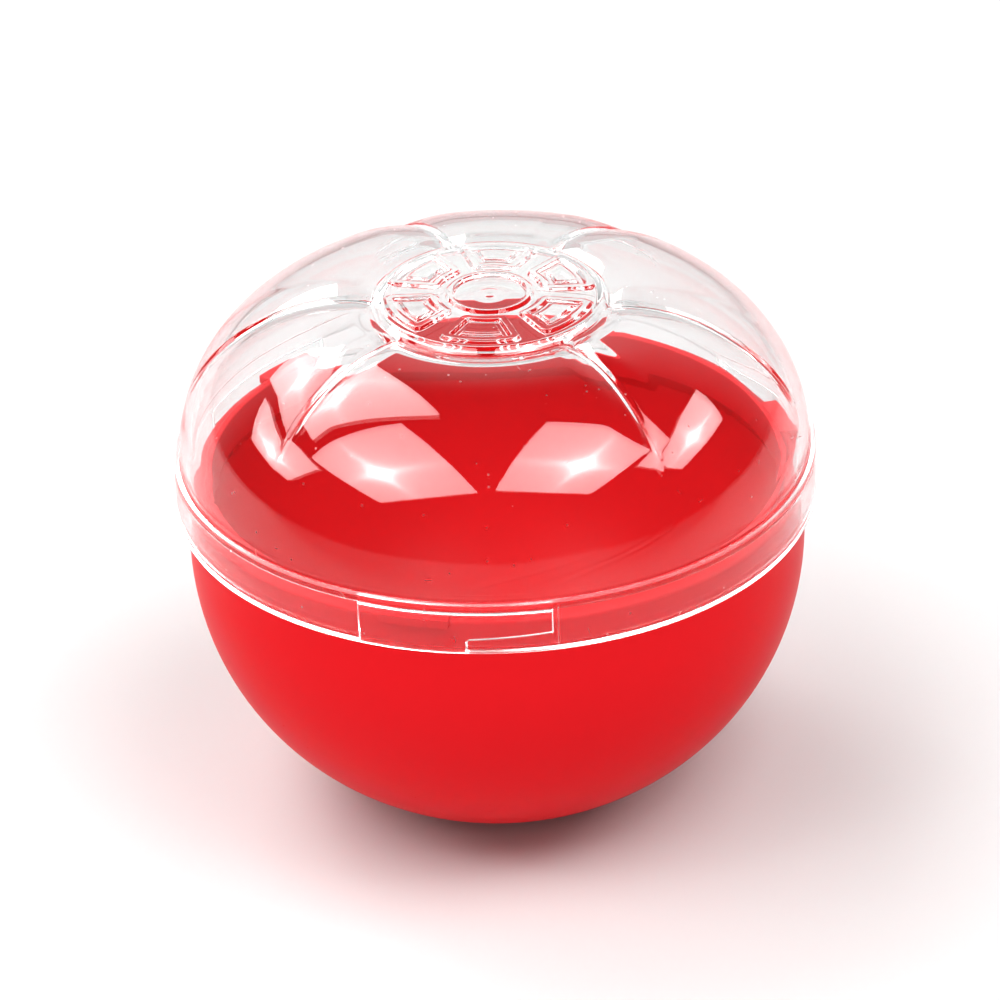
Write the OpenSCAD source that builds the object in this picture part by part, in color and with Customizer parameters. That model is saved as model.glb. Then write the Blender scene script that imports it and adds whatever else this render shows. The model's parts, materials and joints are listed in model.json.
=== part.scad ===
// Twist-lock capsule shaker: a red bowl, a clear lobed lid that turns on three bayonet lugs,
// and one layer of loose beads that sound when it is shaken.
// Millimetres, +Z up. The origin is the middle of the flat foot. The lid is seated and unlocked.

/* [Bowl] */
// Largest outer radius of the bowl
bowl_r = 36.15; // [28:0.05:45]
// Height of the shoulder that the skirt closes on
shoulder_z = 38.15; // [32:0.05:46]
// Height of the upright side under the shoulder, down to where the belly rounds inwards
side_h = 4.35; // [2:0.05:8]
// Radius of the flat foot
foot_r = 8.1; // [5:0.1:14]
// Fullness of the bowl's side, 2 is an ellipse
bowl_fullness = 2.05; // [1.8:0.05:2.6]
// Wall of the bowl
bowl_wall = 1.6; // [1:0.1:3]

/* [Neck] */
// Wall of the neck at its foot
neck_wall = 2.3; // [1.6:0.1:3]
// Radial wall left at the rim above the lead-in taper
rim_w = 0.8; // [0.6:0.1:1.5]
// Gap between the rim and the ledge over it
rim_gap = 0.6; // [0.3:0.05:1]
// Height of the lead-in taper under the rim
lead_in = 1.7; // [1:0.1:2.5]

/* [Bayonet] */
// Number of lugs and of pockets
lugs = 3; // [2:1:4]
// Angle from the front to the middle of the first lug
lug_turn = -9.2; // [-14:0.1:-5]
// Width of a lug round the neck, in degrees
lug_span = 13; // [8:0.1:16]
// Height of a lug
lug_h = 1.4; // [1:0.1:1.8]
// How far a lug stands out of the neck
lug_proud = 0.8; // [0.5:0.05:0.9]
// Gap between the top of a lug and the top of its pocket
lug_gap_top = 0.75; // [0.4:0.05:1]
// Room beside a lug in the mouth of its pocket, in degrees
lug_slack = 3.5; // [2:0.1:5]
// How far past the edge of the mouth a locked lug goes, in degrees
lug_hold = 1.5; // [1:0.1:4]
// Gap between a locked lug and the high end of the tooth under it
tooth_gap = 0.35; // [0.2:0.05:0.5]
// How much the top of the tooth climbs towards its end
tooth_rise = 0.55; // [0.2:0.05:0.8]

/* [Lid] */
// How far the skirt stands out past the bowl
skirt_over = 1.35; // [0.5:0.05:3]
// Height of the skirt band
skirt_h = 6.3; // [5:0.05:9]
// Thickness of the ledge that closes the pockets at the top
ledge_h = 1.5; // [1:0.1:2]
// How far the ledge stands inwards of the dome's inside
ledge_in = 0.45; // [0.2:0.05:0.8]
// Wall left outside a pocket
skirt_face = 0.8; // [0.6:0.05:1.5]
// Step from the skirt in to the dome
dome_step = 0.65; // [0.4:0.05:1]
// Wall of the dome
dome_wall = 1.2; // [0.8:0.1:2]
// Rise of the dome above the skirt, up to the lobes' crowns
dome_h = 19.4; // [14:0.1:26]
// How far outside the disc the lobes are highest
crown_out = 2.65; // [1.5:0.05:6]
// How far the lobes' crowns stand above the foot of the disc
crown_over = 0.55; // [0.2:0.05:1.2]
// Depth of the creases between the lobes
crease_depth = 1.3; // [0.4:0.1:2]

/* [Emblem] */
// Radius of the raised disc at its foot
disc_r = 13.75; // [10:0.05:17]
// Height of the raised disc
disc_h = 0.85; // [0.4:0.05:1.5]
// Height of the relief on the disc
relief_h = 0.35; // [0.2:0.05:0.8]
// Radius of the hub ring
hub_r = 5; // [3:0.1:6]
// Width of the relief's lines
line_w = 0.75; // [0.5:0.05:1.2]

/* [Fit] */
// Running clearance between the lid and the bowl
clearance = 0.3; // [0.2:0.05:0.5]
// Vertical gap between the seated skirt and the shoulder
seat_gap = 0.25; // [0.15:0.05:0.5]

/* [Beads] */
// Diameter of a bead
bead_d = 5; // [3:0.1:6]
// Gap between one bead and the next
bead_space = 0.3; // [0.2:0.05:1]
// Gap between a bead and the bowl under it
bead_gap = 0.1; // [0.05:0.05:0.3]

/* [Hidden] */
$fn = 96;
EPS = 0.01;
RINGS_OF_BEADS = 2;
BEADS = [for (i = [1:1 + 3 * RINGS_OF_BEADS * (RINGS_OF_BEADS + 1)]) str("bead_", i < 10 ? "0" : "", i)];

bowl_steps = 22;      // straight stretches in each side of the bowl's profile
lobe_steps = 96;      // facets round the dome
rise_steps = 12;      // facets from the disc down to the skirt
dome_root = 0.5;      // how deep the dome's edge is sunk into the skirt
joggle_h = 2;         // height over which the bowl's inside steps in to the neck

// Bowl: the foot cuts the belly's superellipse at its own radius.
belly_z = shoulder_z - side_h;
belly_depth = belly_z / pow(1 - pow(foot_r / bowl_r, bowl_fullness), 1 / bowl_fullness);

// Skirt: its wall is the depth of a pocket and the face outside it.
skirt_r = bowl_r + skirt_over;
skirt_in = skirt_r - skirt_face - lug_proud;
skirt_z = shoulder_z + seat_gap;
skirt_top = skirt_z + skirt_h;
pocket_top = skirt_top - ledge_h;

// Neck: it fits the skirt, and its rim stays under the ledge.
neck_r = skirt_in - clearance;
neck_in = neck_r - neck_wall;
rim_z = pocket_top - rim_gap;

// Bayonet: a locked lug lies past the mouth and over the tooth.
lug_r = neck_r + lug_proud;
lug_top = pocket_top - lug_gap_top;
pocket_r = lug_r + clearance;
mouth_w = lug_span + 2 * lug_slack;
twist = lug_span + lug_slack + lug_hold;
tooth_high = lug_top - lug_h - tooth_gap;
tooth_low = tooth_high - tooth_rise;

// Dome: it steps in from the skirt and rises to the crowns.
dome_r = skirt_r - dome_step;
ledge_r = dome_r - dome_wall - ledge_in;
crown_r = disc_r + crown_out;
disc_z = skirt_top + dome_h - crown_over;

bead_pitch = bead_d + bead_space;

// Side of the bowl from the foot up to the belly, thinned inwards by t: part of a superellipse.
function side(t, foot) =
    let (a = bowl_r - t, c = belly_depth - t, n = bowl_fullness,
         last = asin(pow((belly_z - foot) / c, n / 2)))
    [for (i = [0:bowl_steps]) let (e = last * (1 - i / bowl_steps))
        [a * pow(cos(e), 2 / n), belly_z - c * pow(sin(e), 2 / n)]];

// Height of the bowl's inner face at a radius.
function floor_z(r) =
    let (a = bowl_r - bowl_wall, c = belly_depth - bowl_wall, n = bowl_fullness)
    max(bowl_wall, belly_z - c * pow(max(0, 1 - pow(min(1, r / a), n)), 1 / n));

// Reverses a list of points.
function back(v) = [for (i = [len(v) - 1:-1:0]) v[i]];

module bowl_profile() {
    polygon(concat(
        [[0, 0]], side(0, 0),
        [[bowl_r, shoulder_z - 0.5], [bowl_r - 0.5, shoulder_z], [neck_r, shoulder_z],
         [neck_r, rim_z - lead_in], [neck_in + rim_w, rim_z - 0.1],
         [neck_in + rim_w - 0.1, rim_z], [neck_in + 0.1, rim_z], [neck_in, rim_z - 0.1],
         [neck_in, shoulder_z + 0.4], [bowl_r - bowl_wall, shoulder_z + 0.4 - joggle_h]],
        back(side(bowl_wall, bowl_wall)), [[0, bowl_wall]]));
}

// One lug, a block bent round the neck, with its sides on radii.
module lug() {
    rotate([0, 0, lug_turn - 90 - lug_span / 2])
        rotate_extrude(angle = lug_span)
            polygon([[neck_in + rim_w / 2, lug_top - lug_h], [lug_r - 0.2, lug_top - lug_h],
                     [lug_r, lug_top - lug_h + 0.2], [lug_r, lug_top - 0.2],
                     [lug_r - 0.2, lug_top], [neck_in + rim_w / 2, lug_top]]);
}

module bowl() {
    color([0.91, 0.13, 0.17]) {
        rotate_extrude() bowl_profile();
        for (k = [0:lugs - 1]) rotate([0, 0, 360 * k / lugs]) lug();
    }
}

// ---- Lid ----

// Angles of the six creases from the front, at the disc and where they end on the side.
crease_top = [44.5, 90, 157, 203, 270, 315.5];
crease_low = [39.5, 85, 145, 215, 275, 320.5];
crease_end = [0.66, 0.80, 0.72, 0.72, 0.80, 0.66];   // where each ends, 0 at the disc and 1 at the skirt

// Rises smoothly from 0 to 1 between a and b.
function ease(a, b, x) = let (s = min(1, max(0, (x - a) / (b - a)))) s * s * (3 - 2 * s);

// Angle between two directions, 0 to 180.
function apart(p, q) = let (d = abs(p - q) % 360) min(d, 360 - d);

// Depth of the creases at an angle from the front and a stretch s from the disc to the skirt.
// Each is a valley 9 degrees wide to each side that fades out where it ends.
function crease(turn, s) = crease_depth * max([for (k = [0:5])
    let (at = crease_top[k] + (crease_low[k] - crease_top[k]) * s,
         near = max(0, 1 - apart(turn, at) / 9))
    pow(near, 2) * (1 - ease(crease_end[k] - 0.35, crease_end[k], s))]);

// A point of the dome's outside, thinned by t. s is 0 at the flat roof and 1 at the skirt.
// The side is a quarter of an ellipse from the crown to the skirt, and inside the crown it falls to the roof.
function dome_point(turn, s, t) =
    let (inner = 0.12, roof_r = disc_r + 0.25,
         a = 90 * max(0, (s - inner) / (1 - inner)),
         c = crease(turn, s),
         r = s < inner ? roof_r + (crown_r - roof_r) * s / inner
                       : crown_r + (dome_r - crown_r) * sin(a),
         z = s < inner ? disc_z + crown_over * (1 - pow(1 - s / inner, 2))
                       : skirt_top + dome_h * cos(a),
         nr = sin(a), nz = cos(a), d = t + c * ease(0, inner, s))
    [(r - d * nr) * sin(turn), -(r - d * nr) * cos(turn), z - d * nz];

// A closed lobed cap: flat roof, lobed side, and a straight edge sunk into the skirt.
module lobed_cap(t, sink) {
    n = lobe_steps;
    rows = rise_steps + 2;
    sink_z = skirt_top - sink;
    points = concat(
        [for (i = [0:rise_steps]) for (j = [0:n - 1]) dome_point(360 * j / n, i / rise_steps, t)],
        [for (j = [0:n - 1]) let (p = dome_point(360 * j / n, 1, t)) [p[0], p[1], sink_z]]);
    faces = concat(
        [[for (j = [n - 1:-1:0]) j]],
        [for (i = [0:rows - 2]) for (j = [0:n - 1]) let (k = (j + 1) % n)
            [i * n + j, i * n + k, (i + 1) * n + k]],
        [for (i = [0:rows - 2]) for (j = [0:n - 1]) let (k = (j + 1) % n)
            [i * n + j, (i + 1) * n + k, (i + 1) * n + j]],
        [[for (j = [0:n - 1]) (rows - 1) * n + j]]);
    polyhedron(points = points, faces = faces, convexity = 6);
}

// Outline of a pocket as seen from the front, in degrees across and millimetres up:
// an open mouth, and a slot to its right over a tooth whose top climbs to the right.
module pocket_outline() {
    mouth_left = lug_turn - mouth_w / 2;
    mouth_right = lug_turn + mouth_w / 2;
    slot_right = lug_turn + twist + lug_span / 2 + 1.3;
    low = skirt_z - 1;
    polygon([for (p = [
        [mouth_left, low], [mouth_right - 0.7, low], [mouth_right - 0.7, skirt_z + 1],
        [mouth_right, tooth_low], [slot_right, tooth_high],
        [slot_right, pocket_top - 0.5], [slot_right - 0.8, pocket_top], [mouth_left, pocket_top]])
        [skirt_r * sin(p[0]), p[1]]]);
}

// One pocket: the outline carried through the skirt's inner face and no further.
module pocket() {
    intersection() {
        rotate([90, 0, 0]) linear_extrude(height = skirt_r + 5) pocket_outline();
        translate([0, 0, skirt_z - 1]) difference() {
            cylinder(r = pocket_r, h = skirt_h);
            translate([0, 0, -1]) cylinder(r = skirt_in - 1, h = skirt_h + 2);
        }
    }
}

module skirt() {
    difference() {
        rotate_extrude() polygon([
            [skirt_in, skirt_z + 0.3], [skirt_in + 0.3, skirt_z], [skirt_r - 0.25, skirt_z],
            [skirt_r, skirt_z + 0.25], [skirt_r, skirt_top - 0.25], [skirt_r - 0.25, skirt_top],
            [ledge_r, skirt_top], [ledge_r, pocket_top],
            [skirt_in, pocket_top]]);
        for (k = [0:lugs - 1]) rotate([0, 0, 360 * k / lugs]) pocket();
    }
}

// A stretch of a ring between two radii and two angles, its ends on radii.
module ring_part(r1, r2, a1, a2) {
    intersection() {
        difference() { circle(r = r2); circle(r = r1); }
        polygon([[0, 0], 2 * r2 * [cos(a1), sin(a1)], 2 * r2 / cos((a2 - a1) / 2)
            * [cos((a1 + a2) / 2), sin((a1 + a2) / 2)], 2 * r2 * [cos(a2), sin(a2)]]);
    }
}

// Six equal keystone outlines round a hub ring with a gate mark in its middle.
module relief() {
    inner = hub_r + 1.1;
    outer = disc_r - 1.6;
    gap = 7;       // degrees between a keystone and the middle of the space beside it
    edge_in = asin(line_w / inner);
    for (k = [0:5]) difference() {
        ring_part(inner, outer, 60 * k + gap, 60 * (k + 1) - gap);
        ring_part(inner + line_w, outer - line_w, 60 * k + gap + edge_in * 0.8, 60 * (k + 1) - gap - edge_in * 0.8);
    }
    difference() { circle(r = hub_r); circle(r = hub_r - line_w); }
    circle(r = 1.3);
}

module emblem() {
    sunk = 0.4;
    top_z = disc_z + disc_h;
    translate([0, 0, disc_z - sunk]) cylinder(r = disc_r, h = sunk + 0.15);
    translate([0, 0, disc_z + 0.1]) cylinder(r1 = disc_r, r2 = disc_r - 0.55, h = disc_h - 0.1);
    translate([0, 0, top_z - 0.1]) linear_extrude(height = relief_h + 0.1) relief();
}

module lid() {
    color([0.93, 0.95, 0.96, 0.35]) {
        difference() {
            lobed_cap(0, dome_root);
            lobed_cap(dome_wall, dome_root + EPS);
        }
        skirt();
        emblem();
    }
}

// ---- Beads ----

// Place of bead k on a hexagonal lattice: one in the middle, six round it, then twelve.
function hex_corner(ring, side) = ring * bead_pitch * [cos(60 * side), sin(60 * side)];
LATTICE = concat([[0, 0]], [for (ring = [1:RINGS_OF_BEADS]) for (s = [0:5]) for (i = [0:ring - 1])
    hex_corner(ring, s) + (hex_corner(ring, s + 1) - hex_corner(ring, s)) * i / ring]);

// Height of a bead's middle at a radius: it lies on the rounded floor with the gap all round.
function bead_z(r) =
    let (b = bead_d / 2, reach = b + bead_gap)
    max([for (i = [-20:20]) let (d = b * i / 20) floor_z(abs(r + d)) + sqrt(reach * reach - d * d)]);

module bead(k) {
    color([0.96, 0.93, 0.84])
        translate([LATTICE[k][0], LATTICE[k][1], bead_z(norm(LATTICE[k]))])
            sphere(d = bead_d);
}

bowl();
lid();
for (k = [0:len(BEADS) - 1]) bead(k);
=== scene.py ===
"""Looks of the twist-lock capsule shaker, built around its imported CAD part."""

import json
import math
from types import SimpleNamespace

import bpy
import numpy as np
from bpy.props import FloatProperty, FloatVectorProperty, PointerProperty
from bpy.types import Operator, Panel, PropertyGroup
from mathutils import Matrix, Vector


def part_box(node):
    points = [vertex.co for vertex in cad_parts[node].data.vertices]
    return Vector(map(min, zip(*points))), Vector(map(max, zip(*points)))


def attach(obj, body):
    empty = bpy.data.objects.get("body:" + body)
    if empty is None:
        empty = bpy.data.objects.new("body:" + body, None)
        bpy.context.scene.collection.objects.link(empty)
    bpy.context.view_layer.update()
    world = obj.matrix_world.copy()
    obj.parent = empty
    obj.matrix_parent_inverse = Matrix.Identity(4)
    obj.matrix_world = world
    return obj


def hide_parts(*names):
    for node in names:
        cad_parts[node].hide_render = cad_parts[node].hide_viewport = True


bl_info = {
    "name": "Twist-lock capsule shaker",
    "version": (1, 0, 0),
    "blender": (4, 5, 0),
    "location": "3D View > Sidebar > Capsule",
    "description": "Builds the red bowl, the clear lid, the loose beads and the studio of a capsule shaker",
    "category": "Object",
}

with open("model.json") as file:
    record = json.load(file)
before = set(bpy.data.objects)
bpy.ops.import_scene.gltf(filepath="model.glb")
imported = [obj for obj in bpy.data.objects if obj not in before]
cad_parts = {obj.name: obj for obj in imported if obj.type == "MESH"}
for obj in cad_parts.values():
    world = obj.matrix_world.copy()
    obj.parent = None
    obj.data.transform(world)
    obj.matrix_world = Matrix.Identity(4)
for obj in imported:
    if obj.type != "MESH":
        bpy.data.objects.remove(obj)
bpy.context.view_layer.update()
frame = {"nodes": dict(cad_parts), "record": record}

MM = 0.001
BEAD_NODES = sorted(n for n in frame["nodes"] if n.startswith("bead_"))
NODE_BODY = {n: b for b, nodes in frame["record"]["behaviour"]["bodies"].items() for n in nodes}

# Angles round the axis are in degrees from the front, -Y, towards +X.
CREASE_TOP = np.array([44.5, 90.0, 157.0, 203.0, 270.0, 315.5])   # the six creases at the disc
CREASE_LOW = np.array([39.5, 85.0, 145.0, 215.0, 275.0, 320.5])   # and carried on to the skirt
CREASE_END = np.array([0.70, 0.80, 0.74, 0.74, 0.80, 0.70])       # where each fades out, 0 disc, 1 skirt
CREASE_SOFT = np.array([9.0, 13.0, 13.0, 13.0, 13.0, 9.0])        # half width of each soft valley
SEAM_TURN = -30.0     # the grids start and end here, clear of every feature
REPEAT = 120.0        # the bayonet repeats three times
BEFORE_MOUTH = 20.0   # each repeat is counted from this far before its mouth
KEYSTONES = 6         # raised keystones round the hub of the disc
AT_DISC = 0.55        # share of a crease's depth that it has where it meets the disc
SHARP = math.radians(65)    # faces that meet at more than this keep a sharp edge
BOWL_COLUMNS = 400
LID_COLUMNS = 480     # few enough to keep the lid under 200,000 triangles

CAMERA_TURN = math.radians(6.5)      # the camera stands this far round towards +X,
CAMERA_RISE = math.radians(29.8)     # this far above level,
CAMERA_ROLL = math.radians(1.9)      # and leans by this
FILL_RISE = math.radians(24)         # the front fill is this far above level


def length(name, mm, text):
    """A length property whose default is given in millimetres."""
    return FloatProperty(name=name, description=text, default=mm * MM, min=0.0, precision=5,
                         subtype="DISTANCE", unit="LENGTH")


def turn(name, degrees, text):
    """An angle property whose default is given in degrees."""
    return FloatProperty(name=name, description=text, default=math.radians(degrees),
                         subtype="ANGLE", unit="ROTATION")


def colour(name, rgb, text):
    """A colour property."""
    return FloatVectorProperty(name=name, description=text, default=rgb, size=3, min=0.0, max=1.0,
                               subtype="COLOR")


class BowlSizes(PropertyGroup):
    """Sizes of the bowl."""
    radius: length("Bowl radius", 36.15, "Largest outer radius of the bowl")
    belly: length("Belly height", 33.8, "Height where the side starts to round inwards")
    depth: length("Belly depth", 34.605, "Depth of the superellipse under the belly")
    shoulder: length("Shoulder height", 38.15, "Height of the shoulder under the skirt")
    wall: length("Bowl wall", 1.6, "Thickness of the bowl's wall")
    foot: length("Foot radius", 8.1, "Radius of the flat foot")
    neck: length("Neck radius", 35.6, "Outer radius of the neck inside the skirt")
    neck_in: length("Neck inside", 33.3, "Inner radius of the neck")
    rim: length("Rim height", 42.6, "Height of the neck's rim")
    rim_width: length("Rim width", 0.8, "Wall left at the rim above the taper")
    taper: length("Lead-in", 1.0, "Height of the lead-in taper under the rim")
    lug_out: length("Lug radius", 36.4, "Outer radius of the lugs")
    lug_low: length("Lug underside", 41.05, "Height of the underside of a lug")
    lug_high: length("Lug top", 42.45, "Height of the top of a lug")


class LidSizes(PropertyGroup):
    """Sizes of the lid."""
    skirt: length("Skirt radius", 37.49, "Outer radius of the skirt band")
    skirt_in: length("Skirt inside", 35.9, "Inner radius of the skirt band")
    pocket: length("Pocket radius", 36.7, "Radius of the bottom of a pocket")
    low: length("Skirt bottom", 38.4, "Height of the lower edge of the skirt")
    high: length("Skirt top", 44.7, "Height of the upper edge of the skirt")
    roof: length("Pocket top", 43.2, "Height of the upper side of a pocket")
    dome: length("Dome radius", 36.85, "Radius of the dome where it meets the skirt")
    dome_h: length("Dome rise", 19.4, "Rise of the lobes' crowns above the skirt")
    wall: length("Dome wall", 1.2, "Thickness of the dome")
    crown: length("Crown radius", 16.4, "Radius at which the lobes are highest")
    disc: length("Disc radius", 13.75, "Radius of the raised disc at its foot")
    disc_low: length("Disc foot", 63.55, "Height of the roof round the disc")
    disc_high: length("Disc top", 64.4, "Height of the top of the disc")
    relief: length("Relief height", 0.34, "Height of the relief on the disc")
    line: length("Relief line", 1.0, "Width of the relief's lines")
    hub: length("Hub radius", 5.0, "Outer radius of the hub ring")
    valley: length("Valley depth", 0.8, "Depth of the soft valley along a crease")
    groove: length("Groove depth", 0.34, "Depth of the narrow groove in a crease")


class BayonetTurns(PropertyGroup):
    """Angles of the bayonet, from the front."""
    lug_left: turn("Lug start", -15.7, "Left end of the first lug")
    lug_right: turn("Lug end", -2.7, "Right end of the first lug")
    mouth_left: turn("Mouth start", -19.2, "Left side of the first pocket's mouth")
    mouth_right: turn("Mouth end", 0.4, "Right side of the first pocket's mouth")
    slot_right: turn("Slot end", 15.7, "Right end of the first pocket's slot")


class Finishes(PropertyGroup):
    """Colours of the mouldings and the beads."""
    red: colour("Bowl red", (0.70, 0.014, 0.021), "Colour of the bowl's plastic")
    clear: colour("Lid tint", (0.948, 0.970, 0.970), "Tint of the clear plastic")
    cream: colour("Bead cream", (0.80, 0.72, 0.52), "Colour of the beads")
    floor: colour("Floor", (0.70, 0.70, 0.70), "Colour of the studio floor")


class Studio(PropertyGroup):
    """Sizes and strengths of the studio."""
    ceiling: length("Ceiling", 1055, "Height of the plane that the soft boxes lie in")
    distance: length("Camera distance", 751.6, "Distance from the camera to its aim")
    aim: length("Aim height", 36.9, "Height of the point on the axis that the camera looks at")
    radiance: FloatProperty(name="Soft box radiance", default=4.0, min=0.0,
                            description="Brightness that a soft box's pattern is multiplied by")
    ambient: FloatProperty(name="Room", description="Brightness of the room round the soft boxes",
                           default=0.11, min=0.0)
    shine: FloatProperty(name="Shine", description="How much brighter the soft boxes are in reflections",
                         default=2.1, min=0.0)
    fill: FloatProperty(name="Fill", description="Brightness of the front fill, which no reflection shows",
                        default=1.1, min=0.0)
    screens: FloatProperty(name="Screens", description="Brightness of the white screens behind and beside",
                           default=0.8, min=0.0)


class CapsuleSettings(PropertyGroup):
    """Everything that can be set on the capsule."""
    bowl: PointerProperty(type=BowlSizes, name="Bowl", description="Sizes of the bowl")
    lid: PointerProperty(type=LidSizes, name="Lid", description="Sizes of the lid")
    turns: PointerProperty(type=BayonetTurns, name="Bayonet", description="Angles of the bayonet")
    finish: PointerProperty(type=Finishes, name="Finishes", description="Colours")
    studio: PointerProperty(type=Studio, name="Studio", description="Camera and lights")


def values(group, factor):
    """The numbers of a property group by name, times a factor: 1000 gives millimetres."""
    return SimpleNamespace(**{n: getattr(group, n) * factor for n in group.__annotations__})


def towards_camera(rise):
    """The unit vector from the object to the camera's side, at an angle above level."""
    return Vector((math.sin(CAMERA_TURN) * math.cos(rise), -math.cos(CAMERA_TURN) * math.cos(rise),
                   math.sin(rise)))


# ---- Shapes ----

def ease(a, b, x):
    """Smooth step: 0 before a, 1 after b, and 3t^2 - 2t^3 between them. b may lie below a."""
    t = np.clip((x - a) / (b - a), 0.0, 1.0)
    return t * t * (3.0 - 2.0 * t)


def rounded(corners, steps=3):
    """Points along an open outline with its corners rounded.

    Each corner is (r, z, fillet). A fillet starts and ends the same distance t from its corner,
    t = fillet * tan(half the turn), and its arc is a quadratic curve between those two points."""
    p = np.array([c[:2] for c in corners], float)
    out = [p[0]]
    for k in range(1, len(p) - 1):
        fillet = corners[k][2]
        if not fillet:
            out.append(p[k])
            continue
        a, b = p[k - 1] - p[k], p[k + 1] - p[k]
        a, b = a / np.linalg.norm(a), b / np.linalg.norm(b)
        half = 0.5 * math.acos(np.clip(a @ b, -1, 1))
        t = fillet / math.tan(half)
        u = np.linspace(0, 1, steps + 1)[:, None]
        arc = (1 - u) ** 2 * (p[k] + a * t) + 2 * u * (1 - u) * p[k] + u ** 2 * (p[k] + b * t)
        out.extend(arc)
    out.append(p[-1])
    return np.array(out)


def bunched(columns, spots):
    """Angles of the columns once round, with more columns near some angles.

    Each spot is (angle, half width, columns within it). Between spots the columns are even."""
    spots = sorted(spots)
    ends = np.array([SEAM_TURN] + [v for a, h, _ in spots for v in (a - h, a + h)] + [SEAM_TURN + 360.0])
    width = np.diff(ends)
    count = np.empty(len(width))
    count[1::2] = [n for _, _, n in spots]
    count[0::2] = (columns - count[1::2].sum()) * width[0::2] / width[0::2].sum()
    return np.interp(np.arange(columns), np.concatenate([[0], np.cumsum(count)]), ends)


def apart(a, b):
    """Signed angle from b to a, -180 to 180 degrees."""
    return (a - b + 180.0) % 360.0 - 180.0


def folded(turns, t):
    """Angles brought into the one repeat of the bayonet that holds the first pocket."""
    start = t.mouth_left - BEFORE_MOUTH
    return apart(turns, start) % REPEAT + start


def wrapped_faces(rows, cols):
    """Corners, and the first corner of each face, of a grid closed round with a fan at each end.

    Point 0 is the first tip, then come the rows, and the last point is the other tip."""
    j = np.arange(cols)
    k = (j + 1) % cols
    i = np.arange(rows - 1)[:, None] * cols + 1
    quads = np.stack([i + j, i + cols + j, i + cols + k, i + k], axis=-1).reshape(-1, 4)
    last = (rows - 1) * cols + 1
    tip = np.full(cols, rows * cols + 1)
    fans = np.concatenate([np.stack([0 * j, 1 + j, 1 + k], -1), np.stack([last + j, tip, last + k], -1)])
    loops = np.concatenate([quads.ravel(), fans.ravel()]).astype(np.int32)
    starts = np.concatenate([np.arange(len(quads)) * 4, len(quads) * 4 + np.arange(len(fans)) * 3])
    return loops, starts.astype(np.int32)


def closed_sheet(name, r, z, turns, ends, haze=None):
    """A closed mesh from a grid of rows round the axis.

    Row i, column j lies at radius r, height z (mm) and angle turns from the front:
    x = r sin(turn), y = -r cos(turn). ends are the heights of the two points on the axis
    that close the first and the last row. Rows run so that row step x column step faces outwards."""
    rows, cols = r.shape
    a = np.radians(turns)
    grid = np.stack([r * np.sin(a), -r * np.cos(a), z], axis=-1).reshape(-1, 3)
    co = np.concatenate([[[0, 0, ends[0]]], grid, [[0, 0, ends[1]]]]) * MM
    obj = mesh_object(name, co, *wrapped_faces(rows, cols))
    if haze is not None:
        level = np.concatenate([[0], haze.ravel(), [0]]).astype(np.float32)
        obj.data.attributes.new("haze", "FLOAT", "POINT").data.foreach_set("value", level)
    return obj


def mesh_object(name, co, loops, starts):
    """Puts points, corners and the first corner of each face into a new smooth mesh object."""
    mesh = bpy.data.meshes.new(name)
    mesh.vertices.add(len(co))
    mesh.vertices.foreach_set("co", co.astype(np.float32).ravel())
    mesh.loops.add(len(loops))
    mesh.loops.foreach_set("vertex_index", loops)
    mesh.polygons.add(len(starts))
    mesh.polygons.foreach_set("loop_start", starts)
    mesh.update(calc_edges=True)
    mesh.validate()
    mesh.polygons.foreach_set("use_smooth", np.ones(len(mesh.polygons), bool))
    mesh.set_sharp_from_angle(angle=SHARP)
    obj = bpy.data.objects.new(name, mesh)
    bpy.context.scene.collection.objects.link(obj)
    return obj


def block_mask(d, width):
    """1 well inside a shape and 0 outside it, from the distance d to its edge: d < 0 is inside."""
    return ease(width / 2, -width / 2, d)


def box_distance(x, z, half_x, half_z, corner=0.0):
    """Distance to a rectangle's edge, negative inside, with rounded corners."""
    qx, qz = np.abs(x) - half_x + corner, np.abs(z) - half_z + corner
    return np.hypot(np.maximum(qx, 0), np.maximum(qz, 0)) + np.minimum(np.maximum(qx, qz), 0) - corner


# ---- Bowl ----

def superellipse(radius, depth, power, first, steps):
    """Points from the belly down a superellipse (r/radius)^n + (drop/depth)^n = 1, at even angles
    e from 0 to where the drop is first: r = radius cos(e)^(2/n), drop = depth sin(e)^(2/n)."""
    end = math.asin((first / depth) ** (power / 2))
    e = np.linspace(0, end, steps)
    return np.stack([radius * np.cos(e) ** (2 / power), depth * np.sin(e) ** (2 / power)], -1)


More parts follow.
